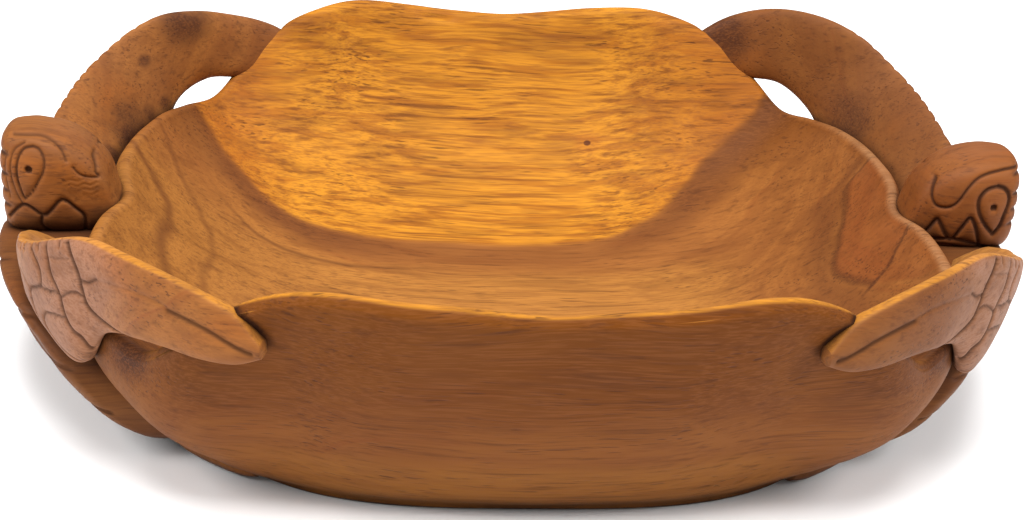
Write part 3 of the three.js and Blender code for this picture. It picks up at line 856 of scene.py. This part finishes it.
GOLD_AND_HIGHLIGHT = (0.475, 0.19, 0.016, 1)
GOLD_DARK = (0.268, 0.084, 0.009, 1)
ORANGE = (0.308, 0.090, 0.012, 1)
TAN = (0.348, 0.144, 0.028, 1)
SAND_HIGHLIGHT = (0.30, 0.15, 0.065, 1)
ROSE_SHEEN = (0.33, 0.17, 0.11, 1)
BROWN = (0.181, 0.060, 0.015, 1)
BROWN_LIGHT = (0.288, 0.107, 0.024, 1)
RED = (0.188, 0.047, 0.012, 1)
RUSSET = (0.17, 0.040, 0.006, 1)
CHESTNUT_SHADE = (0.095, 0.024, 0.001, 1)
UMBER = (0.104, 0.034, 0.011, 1)
BURNT_UMBER = (0.10, 0.030, 0.008, 1)
SEPIA = (0.10, 0.032, 0.009, 1)
DARK_RED = (0.080, 0.024, 0.009, 1)
WALNUT = (0.060, 0.020, 0.008, 1)
KNOT_HEART = (0.060, 0.015, 0.007, 1)
DARK_AND_SHADE = (0.047, 0.015, 0.007, 1)
STAIN_AND_SHADE = (0.020, 0.007, 0.004, 1)

# Dark spots, as place, radius and strength, in millimetres: a knot and grime on the back flippers, and
# painted shade in the hollows of the wall under the front flippers
FLIPPER_STAINS = [
    ((-142.3, 94.1, 78.2), 4, 0.8),
    ((-127, 108, 92), 17, 0.8),
    ((-148, 74, 58), 14, 0.6),
    ((94, 128, 84), 16, 0.85),
    ((139, 88, 62), 16, 0.6),
    ((137, 92, 59), 6, 0.9),
    ((142, 84, 55), 6, 0.9),
    ((-136, 95, 61), 5, 0.8),
    ((-142, 87, 59), 5, 0.8),
    ((-148, 73, 55), 6, 0.8),
    ((-151, 57, 52), 6, 0.8),
]
# Painted shade in the hollows of the wall under the front flippers
WALL_PAINTED_SHADE = [
    ((-119, -104, 56), 15, 0.95),
    ((-117, -90, 49), 13, 0.8),
    ((121, -100, 56), 13, 0.9),
    ((-84, -138, 76), 7, 0.6),
    ((87, -137, 72), 9, 0.7),
    ((79, -134, 68), 10, 0.35),
    ((-100, -128, 60), 22, 0.3),
    ((100, -124, 50), 20, 0.35),
]
# How near another surface must come to darken the wood with painted shade, and the depth of the pores
PAINTED_SHADE_REACH = 13
BUMP_DEPTH = 0.4
BUMP_STRENGTH = 0.25
ROUGHNESS = 0.45


# The wood's place, slightly bent, with its rings, fibres, pores and clouds. Fibres run along X
class Wood(Tree):
    def __init__(self, material):
        super().__init__(material)
        self.place = self.add("ShaderNodeTexCoord").outputs["Object"]
        drift = self.noise_node(self.place, DRIFT_WAVES, 2.0, 0.5).outputs[1]
        reach = tuple(v * MM for v in DRIFT_REACH)
        drift = self.vector("MULTIPLY", self.vector("SUBTRACT", drift, (0.5, 0.5, 0.5)), reach)
        self.bent = self.vector("ADD", self.place, drift)
        self.x, self.y, self.z = self.parts(self.bent)[:3]
        self.normal = self.parts(self.add("ShaderNodeNewGeometry").outputs["Normal"])

        # Rings round the middle of the tree
        dy = self.math("SUBTRACT", self.y, PITH_Y * MM)
        dz = self.math("SUBTRACT", self.z, PITH_Z * MM)
        radius = self.math("SQRT", self.math("ADD", self.product(dy, dy), self.product(dz, dz)))
        ways = {0: self.x, 1: radius, 2: self.y}
        ring_place = self.add("ShaderNodeCombineXYZ", ways).outputs[0]
        self.rings = self.noise(ring_place, RING_WAVES, 4.0)
        self.fine_rings = self.noise(ring_place, FINE_RING_WAVES)

        self.fibres = self.noise(self.bent, FIBRE_WAVES, 4.0)
        self.hairs = self.noise(self.bent, HAIR_WAVES, 2.0)
        self.blotch = self.noise(self.place, BLOTCH_WAVES, roughness=0.55)
        self.clouds = self.noise(self.bent, CLOUD_WAVES)
        self.broad = self.noise(self.bent, BROAD_WAVES)
        pores = self.noise(self.bent, PORE_WAVES, 1.0, 0.5)
        self.pores = self.product(self.ramp(pores, 0.58, 0.70), self.ramp(self.clouds, 0.38, 0.66))

    # Brown heartwood
    def heartwood(self):
        colour = self.tint(BROWN, BROWN_LIGHT, self.ramp(self.rings, 0.34, 0.66))
        colour = self.tint(colour, BROWN, self.ramp(self.blotch, 0.40, 0.66), 0.55)
        return self.tint(colour, RED, self.ramp(self.fine_rings, 0.56, 0.75), 0.5)

    # Pale outer wood, orange towards the ends and darker where its rings and clouds are
    def sapwood(self):
        gold = self.tint(GOLD_AND_HIGHLIGHT, GOLD_DARK, self.ramp(self.fibres, 0.45, 0.68), 0.62)
        streaks = self.noise(self.bent, STREAK_WAVES, 2.0, 0.5)
        gold = self.tint(gold, GOLD_DARK, self.ramp(streaks, 0.50, 0.62), 0.62)
        ends = self.math("ADD", self.span(self.x, 45, 100), self.span(self.x, -75, -115))
        gold = self.tint(gold, ORANGE, ends, 0.7)
        belt = self.product(self.span(self.z, 40, 50), self.span(self.z, 66, 58))
        share = self.math("MULTIPLY_ADD", belt, 0.45, 0.35)
        gold = self.tint(gold, GOLD_DARK, self.ramp(self.rings, 0.46, 0.66), share)
        share = self.ramp(self.clouds, 0.36, 0.66, 0.0, 0.5)
        return self.tint(gold, GOLD_DARK, self.span(self.z, 66, 84), share)

    # Stains and painted shade, then the grain that runs over everything, then the darker finish of
    # some members
    def aged(self, colour, stains_and_shade, darkness):
        # Each spot is a real stain or painted shade, as its list says
        for spot, radius, strength in stains_and_shade:
            far = self.vector("DISTANCE", self.bent, tuple(v * MM for v in spot))
            near = self.span(far, radius, radius / 3, 0.0, strength)
            colour = self.tint(colour, DARK_AND_SHADE, near, self.ramp(self.clouds, 0.30, 0.55, 0.5, 1.0))
        colour = self.tint(colour, BURNT_UMBER, self.ramp(self.broad, 0.46, 0.66), 0.32)
        colour = self.tint(colour, BROWN, self.ramp(self.hairs, 0.42, 0.66), 0.45)
        colour = self.tint(colour, DARK_AND_SHADE, self.ramp(self.fibres, 0.50, 0.74), 0.46)
        colour = self.tint(colour, DARK_AND_SHADE, self.pores, 0.62)
        return self.tint(colour, WALNUT, darkness)


# The bowl: tan floor, a dark reddish painted shade on the walls that face the front, stronger towards
# their top, and pale wood along the back, then what the ends show and a painted highlight on the crest
def bowl_figure(w):
    edge = w.math("SUBTRACT", w.y, w.drawn(w.x, SAPWOOD))
    floor = w.product(w.span(w.z, 30, 19), w.span(w.absolute(w.x), 105, 60), w.span(w.y, 50, 28))
    colour = w.tint(w.heartwood(), TAN, floor, 0.8)
    # Painted shade: walls that face the front are darkened, more towards their top
    front = w.product(w.ramp(w.normal[1], -0.12, -0.5), w.span(w.z, 30, 66, 0.5, 0.82))
    colour = w.tint(colour, CHESTNUT_SHADE, front)
    colour = w.tint(colour, w.sapwood(), w.span(edge, -1.5, 3.5))
    left = w.product(w.span(w.x, -60, -100), w.span(w.absolute(w.y), 75, 30, 0.0, 0.6))
    colour = w.tint(colour, TAN, left)

    # Dark band in front of the pale wood, broad towards the ends, and the line on the floor
    ends = w.span(w.absolute(w.x), 20, 85, 0.35, 0.8)
    band = w.product(w.span(edge, 3, -4), w.span(edge, -26, -6), ends)
    colour = w.tint(colour, UMBER, band, w.ramp(w.blotch, 0.30, 0.55, 0.6, 1.0))
    line = w.absolute(w.math("SUBTRACT", w.y, w.drawn(w.x, FLOOR_LINE)))
    line = w.product(w.span(line, 2.4, 0), w.span(w.x, -10, -60))
    colour = w.tint(colour, DARK_AND_SHADE, line, w.span(w.x, -125, -90, 0.0, 0.55))

    colour = branch_figure(w, streak_figure(w, colour))
    return knot_figure(w, crest_highlight_figure(w, colour))


def streak_figure(w, colour):
    for fade, strength, points in STREAKS:
        across = w.absolute(w.math("SUBTRACT", w.x, w.drawn(w.y, points)))
        streak = w.product(w.span(across, fade, 0), w.span(w.y, -70, -30, 0.0, strength))
        colour = w.tint(colour, DARK_RED, streak, w.span(w.z, 20, 30))
    return colour


# The side branch, its dark lower edge, and the split above it
def branch_figure(w, colour):
    branch = w.math("SUBTRACT", w.x, w.drawn(w.y, BRANCH))
    beyond = w.math("SUBTRACT", w.y, w.product(w.x, SPLIT_SLOPE))
    beyond = w.math("SUBTRACT", beyond, SPLIT_START * MM)
    inside = w.product(w.span(branch, -0.8, 1.2), w.span(w.z, 36, 40))
    inside = w.product(inside, w.span(beyond, -0.8, 0.8, 0.65, 1.0))
    colour = w.tint(colour, RED, inside, 0.66)
    rim = w.product(w.span(w.absolute(branch), 2.2, 0.2), w.span(w.z, 36, 40, 0.0, 0.6))
    colour = w.tint(colour, DARK_AND_SHADE, rim, w.span(beyond, -2, 0))
    split = w.product(w.span(w.absolute(beyond), 1.8, 0.2), w.span(w.x, 118, 123, 0.0, 0.75))
    return w.tint(colour, DARK_AND_SHADE, split, w.span(w.y, 10, -10))


# Painted highlight on the crest of the rim where it faces up, sandy at the right end and golden along
# the front
def crest_highlight_figure(w, colour):
    crest = w.product(w.ramp(w.normal[2], 0.58, 0.96), w.span(w.z, 50, 58))
    # Painted highlight: lighter where the crest faces up
    colour = w.tint(colour, SAND_HIGHLIGHT, crest, w.span(w.x, 125, 137), 0.6)
    return w.tint(colour, GOLD_AND_HIGHLIGHT, crest, w.span(w.y, -105, -125), 0.75)


def knot_figure(w, colour):
    middle = (KNOT[0] * KNOT_STRETCH * MM, KNOT[1] * MM, KNOT[2] * MM)
    far = w.vector("DISTANCE", w.vector("MULTIPLY", w.place, (KNOT_STRETCH, 1, 1)), middle)
    colour = w.tint(colour, ORANGE, w.span(far, 6.2, 3, 0.0, 0.35))
    return w.tint(colour, KNOT_HEART, w.span(far, 1.5, 0.9, 0.0, 0.9))


def shell_figure(w):
    return w.tint(w.heartwood(), ORANGE, w.ramp(w.blotch, 0.52, 0.70), 0.55)


# The right head is redder
def head_figure(w):
    return w.tint(shell_figure(w), RUSSET, w.span(w.x, -50, 50), 0.5)


# Right flippers darker, the front ones with a pale rosy painted sheen at their ends and a golden
# painted highlight where they face up
def flipper_figure(w):
    front = w.span(w.y, 20, -20)
    shade = w.math("MULTIPLY_ADD", front, 0.2, 0.4)
    colour = w.tint(shell_figure(w), SEPIA, w.span(w.x, -50, 50), shade)
    end = w.product(w.span(w.absolute(w.x), 112, 135), front)
    # Painted sheen: pale rosy ends of the front flippers
    colour = w.tint(colour, ROSE_SHEEN, end, w.ramp(w.blotch, 0.35, 0.55, 0.3, 0.6))
    # Painted highlight: golden where the front flippers face up
    return w.tint(colour, GOLD_AND_HIGHLIGHT, w.ramp(w.normal[2], 0.5, 0.9, 0.0, 0.65), front)


# Material of one member: darkness is the share of dark finish over all of it, and soil the share
# that stays in its carved lines
def make_wood(name, figure, darkness, shine, soil, stains_and_shade=()):
    material = bpy.data.materials.new(name)
    w = Wood(material)
    colour = w.aged(figure(w), stains_and_shade, darkness)

    # Finish that has gathered in the carved lines, and painted shade where other surfaces close in, as
    # where pieces meet
    carved = w.add("ShaderNodeAttribute", attribute_name="carved").outputs["Fac"]
    stained = w.ramp(carved, 0.12, 0.9)
    nearby = {"Distance": PAINTED_SHADE_REACH * MM}
    occlusion_shade = w.add("ShaderNodeAmbientOcclusion", nearby, samples=6).outputs["AO"]
    # Painted shade: darker where other surfaces are near, as in corners and crevices
    corner = w.ramp(occlusion_shade, 0.68, 0.25, 0.0, 0.9)
    corner = w.product(corner, w.ramp(w.clouds, 0.30, 0.55, 0.6, 1.0))
    colour = w.tint(colour, STAIN_AND_SHADE, w.math("MAXIMUM", w.product(stained, soil), corner))

    height = w.math("MULTIPLY_ADD", w.fibres, 0.4, w.product(w.pores, -1.0))
    bump = w.add("ShaderNodeBump", {"Strength": BUMP_STRENGTH, "Distance": BUMP_DEPTH * MM,
                                    "Height": height})
    rough = w.math("MULTIPLY_ADD", w.fibres, 0.22, ROUGHNESS)
    rough = w.math("MULTIPLY_ADD", stained, 0.2, rough, clamp=True)
    w.shade(Base_Color=colour, Roughness=rough, Specular_IOR_Level=shine, Normal=bump.outputs[0])
    return material


# Half side of the floor in metres, and its two tones
FLOOR_HALF = 6
FLOOR_COOL = (0.92, 0.92, 0.925, 1)
FLOOR_WARM = (0.94, 0.94, 0.94, 1)
WORLD_STRENGTH = 0.36

# Square lamps that face the bowl: name, place and size in metres, and power in watts
LAMPS = [
    ("key", (-0.05, -0.5, 1.45), 0.6, 26),
    ("back", (0.3, 1.1, 1.2), 1.0, 6),
    ("left", (-1.3, -0.5, 1.2), 0.8, 22),
    ("right", (1.3, -0.5, 1.2), 0.8, 19),
]


# Pale soft floor, which isn't part of the object
def make_floor():
    material = bpy.data.materials.new("floor")
    t = Tree(material)
    cloudy = t.noise(t.add("ShaderNodeTexCoord").outputs["Object"], (3, 3, 3), roughness=0.55)
    t.shade(Base_Color=t.tint(FLOOR_COOL, FLOOR_WARM, cloudy), Roughness=0.9)
    mesh = bpy.data.meshes.new("floor")
    a = FLOOR_HALF
    mesh.from_pydata([(-a, -a, 0), (a, -a, 0), (a, a, 0), (-a, a, 0)], [], [(0, 1, 2, 3)])
    mesh.materials.append(material)
    floor = bpy.data.objects.new("floor", mesh)
    bpy.context.scene.collection.objects.link(floor)


def make_lights():
    world = bpy.data.worlds.new("studio")
    world.use_nodes = True
    background = world.node_tree.nodes["Background"]
    background.inputs[0].default_value = (1, 1, 1, 1)
    background.inputs[1].default_value = WORLD_STRENGTH
    bpy.context.scene.world = world
    for name, place, size, power in LAMPS:
        light = bpy.data.lights.new(name, "AREA")
        light.energy, light.size = power, size
        lamp = bpy.data.objects.new(name, light)
        lamp.location = place
        lamp.rotation_euler = (-Vector(place)).to_track_quat("-Z", "Y").to_euler()
        bpy.context.scene.collection.objects.link(lamp)
    bpy.context.scene.view_settings.view_transform = "Standard"


def dress(piece, material, slot, *nodes):
    piece.data.materials.append(material)
    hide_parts(*nodes)
    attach(piece, "root")


make_camera()
bowl_wood = make_wood("bowl_wood", bowl_figure, 0, 0.06, 0.92, WALL_PAINTED_SHADE)
shell_wood = make_wood("shell_wood", shell_figure, 0.55, 0.12, 0.6)
head_wood = make_wood("head_wood", head_figure, 0.12, 0.12, 0.75)
flipper_wood = make_wood("flipper_wood", flipper_figure, 0, 0.12, 0.65, FLIPPER_STAINS)
dress(make_bowl(), bowl_wood, "bowl_wood", "bowl")
for end, sx in END_SIGN.items():
    shell = make_shell(f"carved_{end}_shell", sx, SHELL_REACH[end])
    dress(shell, shell_wood, "shell_wood", f"{end}_shell")
    head = make_head(f"carved_{end}_head", sx, HEAD_RISE[end], FACE_LINES[end], PUPIL[end])
    dress(head, head_wood, "head_wood", f"{end}_head")
    for side, sy in SIDE_SIGN.items():
        node = f"{end}_{side}_fore_flipper"
        flipper = make_flipper(f"carved_{node}", sx, sy, FLIPPER_SIZES[f"{end}_{side}"])
        dress(flipper, flipper_wood, "flipper_wood", node)
        node = f"{end}_{side}_hind_flipper"
        dress(make_hind_flipper(f"carved_{node}", sx, sy), flipper_wood, "flipper_wood", node)
make_floor()
make_lights()
